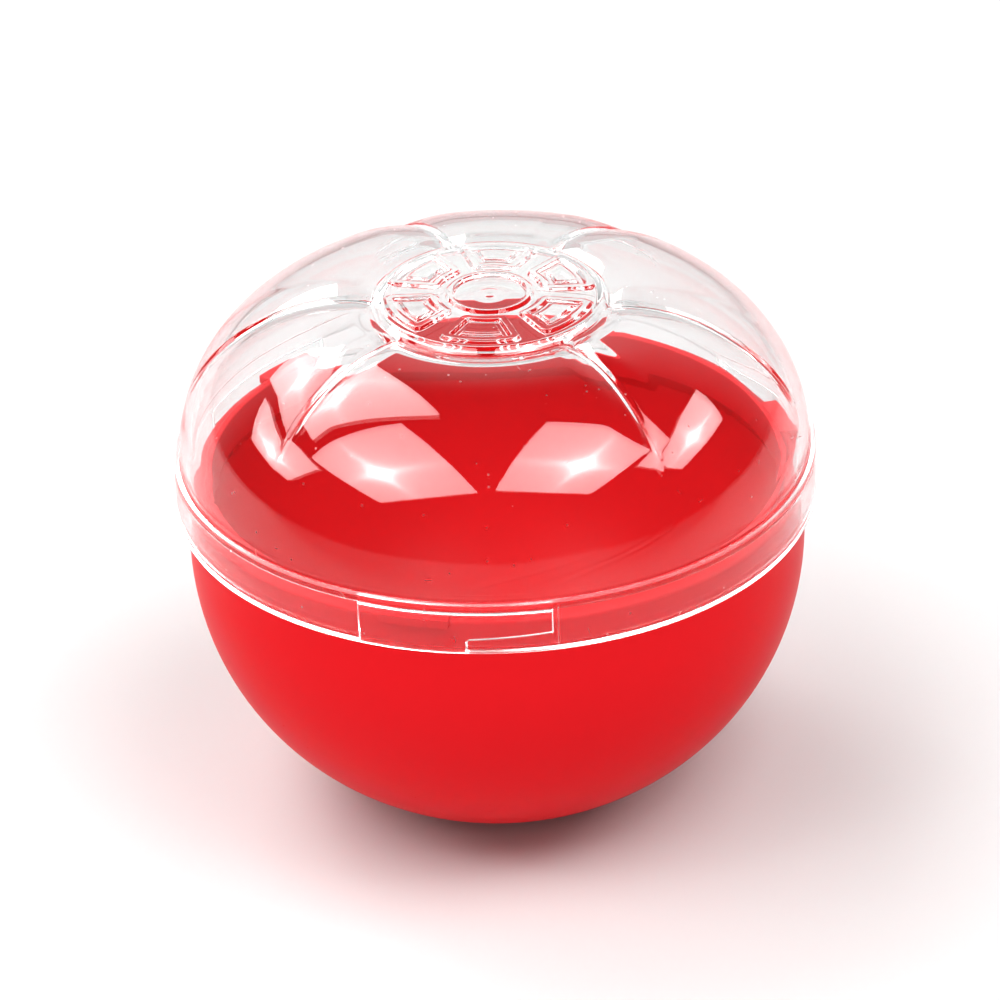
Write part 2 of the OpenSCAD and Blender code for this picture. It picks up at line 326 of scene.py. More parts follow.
def bowl_shape(s, t):
    """The bowl as one closed sheet: up the inside from the floor, over the rim, down the outside.

    The section is turned about the axis, and each lug pushes the neck out to the lug's radius
    where a smooth mask of angle and height is 1."""
    power = 2.05
    out = superellipse(s.radius, s.depth, power, s.belly - 0.02, 46)
    ins = superellipse(s.radius - s.wall, s.depth - s.wall, power, s.belly - s.wall, 34)
    inside = np.stack([ins[::-1, 0], s.belly - ins[::-1, 1]], -1)
    floor_r = np.linspace(1.0, inside[0, 0], 8)[:-1]
    floor = np.stack([floor_r, np.full(7, s.wall)], -1)
    joggle_z = s.shoulder + 0.4
    top = rounded([(s.radius - s.wall, s.belly + 0.8, 0), (s.radius - s.wall, joggle_z - 2.0, 1.2),
                   (s.neck_in, joggle_z, 0.8), (s.neck_in, s.rim - 0.6, 0), (s.neck_in, s.rim, 0.22),
                   (s.neck_in + s.rim_width, s.rim, 0.22),
                   (s.neck_in + s.rim_width + 0.05, s.rim - 0.3, 0)], 5)
    taper_z = np.concatenate([np.linspace(s.lug_high + 0.02, s.lug_high - 0.14, 6),
                              np.linspace(s.lug_high - 0.3, s.lug_low + 0.2, 5),
                              np.linspace(s.lug_low + 0.1, s.lug_low - 0.12, 8),
                              s.lug_low - np.array([0.25, 1.05, 2.05])])
    taper_z = taper_z[taper_z < top[-1, 1] - 0.02]
    taper_r = np.interp(taper_z, [s.rim - s.taper, s.rim - 0.1], [s.neck, s.neck_in + s.rim_width])
    neck = np.stack([taper_r, taper_z], -1)
    shoulder = rounded([(s.neck, s.shoulder + 0.5, 0), (s.neck, s.shoulder, 0.12),
                        (s.radius, s.shoulder, 0.42), (s.radius, s.belly + 2.0, 0)], 6)
    outside = np.stack([out[:, 0], s.belly - out[:, 1]], -1)
    foot = rounded([tuple(outside[-1]) + (0,), (s.foot - 0.35, 0.0, 0.3), (6.4, 0.0, 0.5), (6.0, 0.28, 0.4),
                    (1.9, 0.28, 0.1), (1.75, 0.12, 0.1), (0.5, 0.12, 0)], 3)[1:]
    section = np.concatenate([floor, inside, top, neck, shoulder, outside, foot])
    spots = [(a + REPEAT * k, 0.5, 12) for k in range(3) for a in (t.lug_left, t.lug_right)]
    turns = bunched(BOWL_COLUMNS, spots)[None, :]
    r, z = (np.repeat(section[:, [c]], BOWL_COLUMNS, 1) for c in (0, 1))
    middle, half = (t.lug_left + t.lug_right) / 2, (t.lug_right - t.lug_left) / 2
    arc = np.radians((apart(turns, middle) + REPEAT / 2) % REPEAT - REPEAT / 2) * s.neck
    d = box_distance(arc, z - (s.lug_low + s.lug_high) / 2, np.radians(half) * s.neck,
                     (s.lug_high - s.lug_low) / 2, 0.25)
    row = np.arange(len(section))[:, None]
    first = len(floor) + len(inside) + len(top)
    on_neck = (row >= first) & (row < first + len(neck))
    r = np.where(on_neck, r + (s.lug_out - r) * block_mask(d, 0.16), r)
    return closed_sheet("bowl_moulding", r, z, np.repeat(turns, len(section), 0), (s.wall, 0.16))


# ---- Lid ----

def dome_section(s, u):
    """Radius, height and outward normal of the dome's section at u, 0 at the disc and 1 at the skirt.

    The first eighth rises from the roof to the crown as 1 - (1 - t)^2; from there the section is a
    quarter of an ellipse, r = crown + (dome - crown) sin(a), z = skirt top + rise cos(a)."""
    inner = 0.12
    a = np.pi / 2 * np.clip((u - inner) / (1 - inner), 0, 1)
    start = s.disc + 0.2
    r = np.where(u < inner, start + (s.crown - start) * u / inner, s.crown + (s.dome - s.crown) * np.sin(a))
    top = s.high + s.dome_h
    z = np.where(u < inner, s.disc_low + (top - s.disc_low) * (1 - (1 - np.minimum(u / inner, 1)) ** 2),
                 s.high + s.dome_h * np.cos(a))
    return r, z, np.sin(a), np.cos(a)


def crease_depths(s, turns, u, r):
    """Depths of the soft valley and of the narrow groove at an angle and a stretch u of the dome.

    The valley falls as the square of the nearness within its half width. The groove is a V that is
    widest at the disc and narrows to half a millimetre each way. Both fade out where the crease ends.
    A crease with a narrower valley is shallower too, by its share of the widest one's half width in
    the valley and by the square of that share in the groove."""
    uu = np.clip(u, 0, 1)[..., None]
    at = CREASE_TOP + (CREASE_LOW - CREASE_TOP) * uu
    off = np.abs(apart(turns[..., None], at))
    share = CREASE_SOFT / CREASE_SOFT.max()
    fade = 1 - ease(CREASE_END - 0.40, CREASE_END, uu)
    valley = np.maximum(0, 1 - off / CREASE_SOFT) ** 2 * share * fade
    reach = 0.5 + 0.35 * (1 - ease(0.0, 0.25, uu))
    near = np.maximum(0, 1 - np.radians(off) * r[..., None] / reach)
    groove = near ** 1.15 * share ** 2 * (1 - ease(CREASE_END - 0.22, CREASE_END, uu))
    groove = groove * (0.6 + 0.4 * (1 - ease(0, 0.4, uu)))
    return s.valley * valley.max(-1), s.groove * groove.max(-1)


def relief_height(s, turns, r):
    """Height of the relief on the disc, 0 to 1.

    Six equal keystones with rounded corners lie round a hub ring. Each is an outline round a small
    raised keystone. Distances are taken along the radius and along the arc."""
    inner, outer, half = s.hub + 1.1, s.disc - 1.6, 23.0
    pitch = 360.0 / KEYSTONES
    fold = (turns + pitch / 2) % pitch - pitch / 2
    arc = np.radians(fold) * r
    d = box_distance(arc, r - (inner + outer) / 2, np.radians(half) * r, (outer - inner) / 2, 0.9)
    soft = 0.22
    line = block_mask(d, soft) - block_mask(d + s.line, soft)
    island = block_mask(d + s.line + 0.75, soft)
    hub = block_mask(np.abs(r - s.hub + 0.4) - 0.4, soft)
    return np.clip(line + island + hub, 0, 1)


def pocket_mask(s, t, turns, z):
    """How deep a pocket is cut, 0 to 1: a mouth open at the bottom, and a slot over a rising tooth.

    Each is a rectangle in arc length and height; the two are joined by a smooth minimum of distances."""
    fold = folded(turns, t)
    arc = np.radians(fold) * s.skirt_in
    left, right, end = (np.radians(v) * s.skirt_in for v in (t.mouth_left, t.mouth_right, t.slot_right))
    mouth = np.abs(arc - (left + right) / 2) - (right - left) / 2
    line = tooth_line(t, fold)
    slot = np.maximum(np.maximum(arc - end, left - arc), line - z)
    blend = 0.35
    h = np.clip(0.5 + 0.5 * (slot - mouth) / blend, 0, 1)
    d = slot * (1 - h) + mouth * h - blend * h * (1 - h)
    return block_mask(d, 0.24)


def tooth_line(t, fold):
    """Height of the tooth's top: it climbs from the mouth to the end of the slot, then comes back."""
    return 39.75 + 0.55 * np.interp(fold, [t.mouth_right, t.slot_right, t.slot_right + 4], [0, 1, 0])


def witness_turn(t):
    """Angle of the fine witness line that stands beside the end of a slot."""
    return t.slot_right + 1.1


def pocket_columns(t):
    """Angles of the lid's columns on the skirt, bunched up at the sides of each pocket, just before
    its mouth and at its witness line."""
    spots = [(a + REPEAT * k, h, c) for k in range(3) for a, h, c in
             ((t.mouth_left - 1.3, 0.35, 6), (t.mouth_left, 0.45, 10), (t.mouth_right, 0.9, 12),
              (t.slot_right, 0.45, 10), (witness_turn(t), 0.35, 6))]
    return bunched(LID_COLUMNS, [((a - SEAM_TURN) % 360 + SEAM_TURN, h, c) for a, h, c in spots])


def pocket_rows(s, t, turns):
    """Heights of the rows on the inner face of the skirt, which follow the top of the tooth."""
    v = np.concatenate([np.linspace(0, 0.9, 6), np.linspace(1, 2, 7), np.linspace(2.2, 3, 5),
                        np.linspace(3.3, 4, 4)])
    line = tooth_line(t, folded(turns, t))
    knots = np.stack([0 * line + s.low + 0.4, line - 0.2, line + 0.25, 0 * line + s.roof - 0.3,
                      0 * line + s.roof - 0.01])
    whole = np.minimum(v.astype(int), 3)
    part = (v - whole)[:, None]
    return knots[whole] * (1 - part) + knots[whole + 1] * part


def lid_shape(s, t):
    """The lid as one closed sheet: out over the disc and the dome, down the skirt, and back inside.

    Rows follow the section. Columns are even on the disc, bunch up along the creases on the dome,
    and along the sides of the pockets on the skirt; between those zones they are mixed linearly.
    The ledge over the pockets slopes from their top to the dome, and the disc's underside follows
    its top."""
    n = LID_COLUMNS
    even = np.linspace(SEAM_TURN, SEAM_TURN + 360, n, endpoint=False)
    on_crease = [bunched(n, [(a, 2.3, 26) for a in line]) for line in (CREASE_TOP, CREASE_LOW)]
    on_pocket = pocket_columns(t)

    # Disc: dished hub, relief, edge.
    disc_r = np.concatenate([np.linspace(0.4, 3.9, 7), np.linspace(4.05, s.disc - 1.3, 50)])
    disc = np.stack([disc_r, np.full(len(disc_r), s.disc_high)], -1)
    edge = rounded([(s.disc - 1.2, s.disc_high, 0), (s.disc - 0.75, s.disc_high, 0.5),
                    (s.disc, s.disc_low, 0.3), (s.disc + 0.2, s.disc_low, 0)], 5)[:-1]
    u_out = np.concatenate([np.linspace(0, 0.12, 7), np.linspace(0.12, 1, 36)[1:]])
    r_d, z_d, nr, nz = dome_section(s, u_out)
    step = rounded([(s.dome, s.high + 0.7, 0), (s.dome, s.high, 0.15), (s.skirt, s.high, 0.22),
                    (s.skirt, s.high - 1.5, 0), (s.skirt, s.low + 1.5, 0), (s.skirt, s.low, 0.22),
                    (s.skirt_in + 0.98, s.low, 0)], 4)[1:]
    bottom = rounded([(s.skirt_in + 0.3, s.low, 0), (s.skirt_in + 0.12, s.low + 0.06, 0),
                      (s.skirt_in, s.low + 0.25, 0)], 2)
    ledge = rounded([(s.skirt_in - 0.03, s.roof, 0), (s.dome - s.wall, s.high, 0.5),
                     (s.dome - s.wall, s.high + 0.06, 0)], 3)
    u_in = np.concatenate([np.linspace(0.99, 0.12, 28), np.linspace(0.1, 0, 4)])
    r_i, z_i, nr_i, nz_i = dome_section(s, u_in)
    low, high = s.disc_low - s.wall, s.disc_high - s.wall
    under = rounded([(s.disc - 0.4, low, 0), (s.disc - 0.7, low, 0.3), (s.disc - 1.4, high, 0.5),
                     (s.disc - 2.2, high, 0), (1.0, high, 0)], 5)

    face_z = pocket_rows(s, t, on_pocket)
    face = np.stack([np.full(len(face_z), s.skirt_in), face_z[:, 0]], -1)

    # Put the zones together, row by row.
    zones = {"disc": disc, "edge": edge, "dome": np.stack([r_d, z_d], -1), "step": step,
             "bottom": bottom, "face": face, "ledge": ledge, "inner": np.stack([r_i, z_i], -1),
             "under": under}
    names = np.repeat(list(zones), [len(zone) for zone in zones.values()])
    section = np.concatenate(list(zones.values()))
    rows = len(section)
    r, z = np.repeat(section[:, :1], n, 1), np.repeat(section[:, 1:], n, 1)
    z[names == "face"] = face_z

    u = np.zeros(rows)
    u[names == "dome"], u[names == "inner"] = u_out, u_in
    u[np.isin(names, ["step", "bottom", "face", "ledge"])] = 1.0
    to_crease = ease(0.0, 0.15, u)[:, None]
    to_pocket = ease(0.84, 0.97, u)[:, None]
    crease = on_crease[0] * (1 - u[:, None]) + on_crease[1] * u[:, None]
    turns = even * (1 - to_crease) + crease * to_crease
    turns = turns * (1 - to_pocket) + on_pocket * to_pocket

    # Relief, dish and gate mark on the disc.
    m = names == "disc"
    dish = 0.28 * np.maximum(0, 1 - (r[m] / (s.hub - 0.85)) ** 2)
    gate = 0.16 * (block_mask(r[m] - 1.3, 0.4) - 0.8 * block_mask(r[m] - 0.8, 0.5))
    raised = relief_height(s, turns[m], r[m])
    z[m] += s.relief * raised - dish + gate
    haze = np.zeros(r.shape)
    haze[m] = 2.4 * raised * (1 - raised)

    # Creases: the outside sinks by the valley and the groove, and the inside follows.
    for name, un, rn, zn, wall in (("dome", u_out, nr, nz, 0.0), ("inner", u_in, nr_i, nz_i, s.wall)):
        m = names == name
        uu = np.repeat(un[:, None], n, 1)
        valley, groove = crease_depths(s, turns[m], uu, r[m])
        start = AT_DISC + (1 - AT_DISC) * ease(0, 0.1, uu)
        d = wall + (valley + groove) * start
        r[m], z[m] = r[m] - d * rn[:, None], z[m] - d * zn[:, None]
    m = names == "edge"
    sink = ease(s.disc - 0.45, s.disc, r[m])
    valley, groove = crease_depths(s, turns[m], 0 * r[m], r[m])
    z[m] -= AT_DISC * (valley + groove) * sink

    # Pockets and the fine witness line beside each, on the inner face of the skirt.
    m = np.isin(names, ["bottom", "face"])
    deep = pocket_mask(s, t, turns[m], z[m])
    near = np.radians(np.abs(folded(turns[m], t) - witness_turn(t))) * s.skirt_in
    r[m] += (s.pocket - s.skirt_in) * deep - 0.07 * block_mask(near - 0.09, 0.12) * (1 - deep)

    # Haze: the edges of the skirt and of the pockets are less polished than the faces.
    haze[m] = np.maximum(4 * deep * (1 - deep), 0.9 * block_mask(near - 0.12, 0.12))
    haze[m] = np.maximum(haze[m], deep * ease(s.roof - 0.32, s.roof - 0.1, z[m]))
    rim = np.maximum(block_mask(np.abs(z - s.high) - 0.16, 0.16), block_mask(np.abs(z - s.low) - 0.3, 0.16))
    outer = (r > s.dome + 0.1) & np.isin(names, ["step", "bottom"])[:, None]
    haze = np.where(outer, np.maximum(haze, rim), haze)
    return closed_sheet("lid_moulding", r, z, turns, (s.disc_high - 0.24, s.disc_high - s.wall), haze)


# ---- Beads ----

def bead_shape(name, centre, radius, tilt):
    """A bead: a sphere of angles (a, b) with a fine raised parting line round its middle,
    radius * (1 + 0.008 * nearness to the middle), turned by a rotation matrix."""
    rows, cols = 25, 48
    b = np.linspace(np.pi / 2, -np.pi / 2, rows + 2)[1:-1, None]
    b = np.sign(b) * np.abs(b) ** 1.25 * (np.pi / 2) ** -0.25
    a = np.linspace(0, 2 * np.pi, cols, endpoint=False)[None, :]
    rr = radius * (1 - 0.008 + 0.008 * np.maximum(0, 1 - np.abs(b) / 0.06))
    grid = np.stack([rr * np.cos(b) * np.cos(a), rr * np.cos(b) * np.sin(a), rr * np.sin(b) + 0 * a], -1)
    poles = np.array([[0, 0, 1], [0, 0, -1]]) * radius * 0.992
    co = np.concatenate([poles[:1], grid.reshape(-1, 3), poles[1:]]) @ tilt.T + centre
    return mesh_object(name, co, *wrapped_faces(rows, cols))


# ---- Finishes ----

def node(tree, kind, **sets):
    """Adds a node. Names with a leading capital set its inputs, the rest its attributes."""
    new = tree.nodes.new(kind)
    for key, value in sets.items():
        if key[0].isupper():
            new.inputs[key.replace("_", " ")].default_value = value
        else:
            setattr(new, key, value)
    return new


def maths(tree, operation, a, b=None, clamp=False):
    """A Math node on two sockets or numbers; gives its output."""
    new = node(tree, "ShaderNodeMath", operation=operation, use_clamp=clamp)
    for slot, value in enumerate((a, b)):
        if value is None:
            continue
        if isinstance(value, bpy.types.NodeSocket):
            tree.links.new(value, new.inputs[slot])
        else:
            new.inputs[slot].default_value = value
    return new.outputs[0]


def new_group(name, inputs, outputs):
    """An empty node group with named inputs and outputs; gives the tree and its two end nodes."""
    tree = bpy.data.node_groups.new(name, "ShaderNodeTree")
    for label, kind, default in inputs:
        socket = tree.interface.new_socket(label, in_out="INPUT", socket_type=kind)
        if default is not None:
            socket.default_value = default
    for label, kind in outputs:
        tree.interface.new_socket(label, in_out="OUTPUT", socket_type=kind)
    return tree, tree.nodes.new("NodeGroupInput"), tree.nodes.new("NodeGroupOutput")


def scratch_group():
    """Handling marks: short straight scratches, which are bits of the edges of large cells, and specks."""
    name = "Handling Marks"
    if name in bpy.data.node_groups:
        return bpy.data.node_groups[name]
    tree, start, end = new_group(
        name, [("Vector", "NodeSocketVector", None), ("Size", "NodeSocketFloat", 160.0),
               ("Amount", "NodeSocketFloat", 0.5)],
        [("Mask", "NodeSocketFloat"), ("Height", "NodeSocketFloat")])
    link = tree.links.new
    cells = node(tree, "ShaderNodeTexVoronoi", feature="DISTANCE_TO_EDGE")
    link(start.outputs["Vector"], cells.inputs["Vector"])
    link(start.outputs["Size"], cells.inputs["Scale"])
    line = maths(tree, "LESS_THAN", cells.outputs["Distance"], 0.008)
    patch = node(tree, "ShaderNodeTexNoise", Scale=420.0, Detail=1.0)
    link(start.outputs["Vector"], patch.inputs["Vector"])
    level = maths(tree, "SUBTRACT", 0.90, maths(tree, "MULTIPLY", start.outputs["Amount"], 0.36))
    bits = maths(tree, "MULTIPLY", line, maths(tree, "GREATER_THAN", patch.outputs["Fac"], level))
    dots = node(tree, "ShaderNodeTexVoronoi", Scale=700.0)
    link(start.outputs["Vector"], dots.inputs["Vector"])
    small = maths(tree, "LESS_THAN", dots.outputs["Distance"], 0.10)
    split = node(tree, "ShaderNodeSeparateColor")
    link(dots.outputs["Color"], split.inputs["Color"])
    rare = maths(tree, "GREATER_THAN", split.outputs["Red"], 0.90)
    speck = maths(tree, "MULTIPLY", small, rare)
    mask = maths(tree, "ADD", bits, speck, clamp=True)
    link(mask, end.inputs["Mask"])
    link(maths(tree, "MULTIPLY", mask, -1.0), end.inputs["Height"])
    return tree


def grain_group():
    """Moulded surface: a fine grain height and a slow cloudiness, both round 0.5."""
    name = "Moulded Grain"
    if name in bpy.data.node_groups:
        return bpy.data.node_groups[name]
    tree, start, end = new_group(
        name, [("Vector", "NodeSocketVector", None), ("Grain Size", "NodeSocketFloat", 2500.0),
               ("Cloud Size", "NodeSocketFloat", 60.0)],
        [("Height", "NodeSocketFloat"), ("Cloud", "NodeSocketFloat")])
    link = tree.links.new
    fine = node(tree, "ShaderNodeTexNoise", Detail=2.0)
    slow = node(tree, "ShaderNodeTexNoise", Detail=3.0, Roughness=0.6)
    for tex, size in ((fine, "Grain Size"), (slow, "Cloud Size")):
        link(start.outputs["Vector"], tex.inputs["Vector"])
        link(start.outputs[size], tex.inputs["Scale"])
    link(fine.outputs["Fac"], end.inputs["Height"])
    link(slow.outputs["Fac"], end.inputs["Cloud"])
    return tree


def put_group(tree, group, coords, **inputs):
    """Places a node group on Object coordinates with its own values."""
    new = node(tree, "ShaderNodeGroup")
    new.node_tree = group
    tree.links.new(coords, new.inputs["Vector"])
    for key, value in inputs.items():
        new.inputs[key.replace("_", " ")].default_value = value
    return new


def blank_material(name):
    """A material with only its Principled shader and output; gives them and the Object coordinates."""
    mat = bpy.data.materials.new(name)
    mat.use_nodes = True
    tree = mat.node_tree
    shader = tree.nodes["Principled BSDF"]
    coords = tree.nodes.new("ShaderNodeTexCoord").outputs["Object"]
    return mat, tree, shader, tree.nodes["Material Output"], coords


def mixed_colour(tree, factor, a, b):
    """A colour between a and b by a factor socket."""
    mix = node(tree, "ShaderNodeMix", data_type="RGBA")
    tree.links.new(factor, mix.inputs["Factor"])
    mix.inputs[6].default_value, mix.inputs[7].default_value = (*a, 1), (*b, 1)
    return mix.outputs[2]


def moulded_plastic(name, rgb, roughness, specular, cloud, grain):
    """Opaque moulded plastic: a little cloudy in colour and gloss, with a fine grain and handling marks."""
    mat, tree, shader, _, coords = blank_material(name)
    link = tree.links.new
    skin = put_group(tree, grain_group(), coords, Grain_Size=grain, Cloud_Size=45.0)
    marks = put_group(tree, scratch_group(), coords, Size=110.0, Amount=0.35)
    tone = np.array(rgb)
    link(mixed_colour(tree, skin.outputs["Cloud"], tone * (1 - cloud), np.minimum(tone * (1 + cloud), 1)),
         shader.inputs["Base Color"])
    rough = maths(tree, "ADD", roughness - 0.05, maths(tree, "MULTIPLY", skin.outputs["Cloud"], 0.10))
    link(maths(tree, "ADD", rough, maths(tree, "MULTIPLY", marks.outputs["Mask"], 0.2), clamp=True),
         shader.inputs["Roughness"])
    shader.inputs["Specular IOR Level"].default_value = specular
    height = maths(tree, "ADD", skin.outputs["Height"], maths(tree, "MULTIPLY", marks.outputs["Height"], 1.5))
    bump = node(tree, "ShaderNodeBump", Strength=0.12, Distance=0.00004)
    link(height, bump.inputs["Height"])
    link(bump.outputs["Normal"], shader.inputs["Normal"])
    return mat


def clear_plastic(name, rgb):
    """Clear moulded plastic with handling marks. Lamps shine straight through it: for shadow and
    diffuse rays it is plain transparent, with a little lost at each face. So it is for rays that have
    been turned round in the wall twice, which would otherwise be caught there and leave it black."""
    mat, tree, shader, output, coords = blank_material(name)
    link = tree.links.new
    shader.inputs["Base Color"].default_value = (*rgb, 1)
    shader.inputs["Transmission Weight"].default_value = 1.0
    shader.inputs["IOR"].default_value = 1.45
    marks = put_group(tree, scratch_group(), coords, Size=150.0, Amount=0.45)
    skin = put_group(tree, grain_group(), coords, Grain_Size=260.0, Cloud_Size=70.0)
    edges = node(tree, "ShaderNodeAttribute", attribute_name="haze").outputs["Fac"]
    rough = maths(tree, "ADD", maths(tree, "MULTIPLY", skin.outputs["Cloud"], 0.02),
                  maths(tree, "MULTIPLY", edges, 0.5))
    link(maths(tree, "ADD", rough, maths(tree, "MULTIPLY", marks.outputs["Mask"], 0.30), clamp=True),
         shader.inputs["Roughness"])
    height = maths(tree, "ADD", marks.outputs["Height"], maths(tree, "MULTIPLY", skin.outputs["Height"], 0.6))
    bump = node(tree, "ShaderNodeBump", Strength=0.05, Distance=0.00002)
    link(height, bump.inputs["Height"])
    link(bump.outputs["Normal"], shader.inputs["Normal"])
    through = node(tree, "ShaderNodeBsdfTransparent")
    through.inputs["Color"].default_value = (0.985, 0.985, 0.985, 1)
    path = node(tree, "ShaderNodeLightPath")
    mix = node(tree, "ShaderNodeMixShader")
    caught = maths(tree, "GREATER_THAN", path.outputs["Glossy Depth"], 1.5)
    link(maths(tree, "MAXIMUM", caught, maths(tree, "MAXIMUM", path.outputs["Is Shadow Ray"],
                                              path.outputs["Is Diffuse Ray"])), mix.inputs[0])
    link(shader.outputs[0], mix.inputs[1])
    link(through.outputs[0], mix.inputs[2])
    link(mix.outputs[0], output.inputs["Surface"])
    return mat


def floor_finish(rgb):
    """Matt pale studio floor, very slightly uneven in tone. Ahead of the object it has a painted
    reflection darkening: a first reflection sees it about half as bright, as if a black card lay there."""
    mat, tree, shader, output, coords = blank_material("Studio Floor")
    cloud = node(tree, "ShaderNodeTexNoise", Scale=6.0)
    tree.links.new(coords, cloud.inputs["Vector"])
    tone = np.array(rgb)
    tree.links.new(mixed_colour(tree, cloud.outputs["Fac"], tone * 0.995, tone * 1.005),
                   shader.inputs["Base Color"])
    shader.inputs["Roughness"].default_value = 0.9
    shader.inputs["Specular IOR Level"].default_value = 0.0
    # Painted reflection darkening: in first reflections the floor ahead of the object is mixed about half
    # towards black.
    painted_reflection_mix = node(tree, "ShaderNodeMixShader")
    depth = tree.nodes.new("ShaderNodeLightPath").outputs["Glossy Depth"]
    once = maths(tree, "COMPARE", depth, 1.0)
    ahead = node(tree, "ShaderNodeVectorMath", operation="DOT_PRODUCT")
    ahead.inputs[1].default_value = towards_camera(0)
    tree.links.new(coords, ahead.inputs[0])
    near = node(tree, "ShaderNodeMapRange", interpolation_type="SMOOTHSTEP", From_Min=0.03, From_Max=0.20,
                To_Min=0.0, To_Max=0.55)
    tree.links.new(ahead.outputs["Value"], near.inputs["Value"])
    tree.links.new(maths(tree, "MULTIPLY", once, near.outputs["Result"]), painted_reflection_mix.inputs[0])
    tree.links.new(shader.outputs[0], painted_reflection_mix.inputs[1])
    painted_dark_reflection = node(tree, "ShaderNodeBsdfDiffuse")
    painted_dark_reflection.inputs["Color"].default_value = (0, 0, 0, 1)
    tree.links.new(painted_dark_reflection.outputs[0], painted_reflection_mix.inputs[2])
    tree.links.new(painted_reflection_mix.outputs[0], output.inputs["Surface"])
    return mat


# ---- Studio ----

LIGHT_POWER = math.pi     # watts per square metre that make a light shine at radiance 1
SHINE_GAP = 1.002         # a soft box and its shine would hide one another in the same plane
SOFT_BOXES = {
    "Soft Box Front Left": (-1.25, -0.22, -0.98, 0.02, 12),
    "Soft Box Back Left": (-1.15, -0.2, 0.17, 1.15, 4),
    "Soft Box Front Right": (0.08, 0.92, -0.93, 0.0, -12),
    "Soft Box Right": (1.02, 1.95, -0.45, 0.60, 0),
    "Soft Box Left": (-2.8, -1.4, -0.3, 0.95, 0),
}


def fading(tree, value, rate):
    """e to the power of minus rate times a value."""
    return maths(tree, "EXPONENT", maths(tree, "MULTIPLY", value, -rate))


def soft_box(name, box, height, radiance):
    """A flat soft box in the ceiling, facing down. box is (x0, x1, y0, y1) per unit of height, seen
    from the object and turned with the camera, and then its own turn in degrees.

    Its brightness is the sum of an even part, a wide glow and a small lamp, which fade as e^(-3 d)
    and e^(-20 d) with the distance d from its middle, and four faint rays, which fade slowly along
    themselves and fast across. Distances are shares of its sides."""
    x0, x1, y0, y1 = (v * height for v in box[:4])
    light = bpy.data.lights.new(name, "AREA")
    light.shape = "RECTANGLE"
    light.size, light.size_y = x1 - x0, y1 - y0
    light.energy = LIGHT_POWER * light.size * light.size_y
    light.use_nodes = True
    tree = light.node_tree
    glow = next(n for n in tree.nodes if n.bl_idname == "ShaderNodeEmission")
    split = node(tree, "ShaderNodeSeparateXYZ")
    tree.links.new(node(tree, "ShaderNodeNewGeometry").outputs["Parametric"], split.inputs[0])
    across = maths(tree, "ABSOLUTE", maths(tree, "SUBTRACT", split.outputs["X"], 0.5))
    along = maths(tree, "ABSOLUTE", maths(tree, "SUBTRACT", split.outputs["Y"], 0.5))
    far = maths(tree, "SQRT", maths(tree, "ADD", maths(tree, "MULTIPLY", across, across),
                                    maths(tree, "MULTIPLY", along, along)))
    rays = [maths(tree, "MULTIPLY", fading(tree, a, 26.0), fading(tree, b, 4.5))
            for a, b in ((across, along), (along, across))]
    total = maths(tree, "ADD", maths(tree, "MULTIPLY", fading(tree, far, 20.0), 2.2),
                  maths(tree, "MULTIPLY", maths(tree, "ADD", *rays), 1.5))
    wide = maths(tree, "MULTIPLY", fading(tree, far, 3.0), 0.6)
    level = maths(tree, "ADD", maths(tree, "ADD", total, wide), 0.62)
    tree.links.new(maths(tree, "MULTIPLY", level, radiance), glow.inputs["Strength"])
    obj = bpy.data.objects.new(name, light)
    bpy.context.scene.collection.objects.link(obj)
    turned = Matrix.Rotation(CAMERA_TURN, 4, "Z")
    own = Matrix.Rotation(math.radians(box[4]), 4, "Z")
    obj.matrix_world = turned @ Matrix.Translation(((x0 + x1) / 2, (y0 + y1) / 2, height)) @ own
    return obj


def front_fill(far, radiance):
    """A broad light ahead of the object, a little lower than the camera, that no gloss shows."""
    light = bpy.data.lights.new("Front Fill", "AREA")
    light.shape = "RECTANGLE"
    light.size, light.size_y = 1.6, 0.8
    light.energy = LIGHT_POWER * light.size * light.size_y * radiance
    obj = bpy.data.objects.new("Front Fill", light)
    bpy.context.scene.collection.objects.link(obj)
    obj.visible_glossy = obj.visible_transmission = False
    out = towards_camera(FILL_RISE)
    obj.matrix_world = Matrix.Translation(out * far) @ out.to_track_quat("Z", "Y").to_matrix().to_4x4()
    return obj


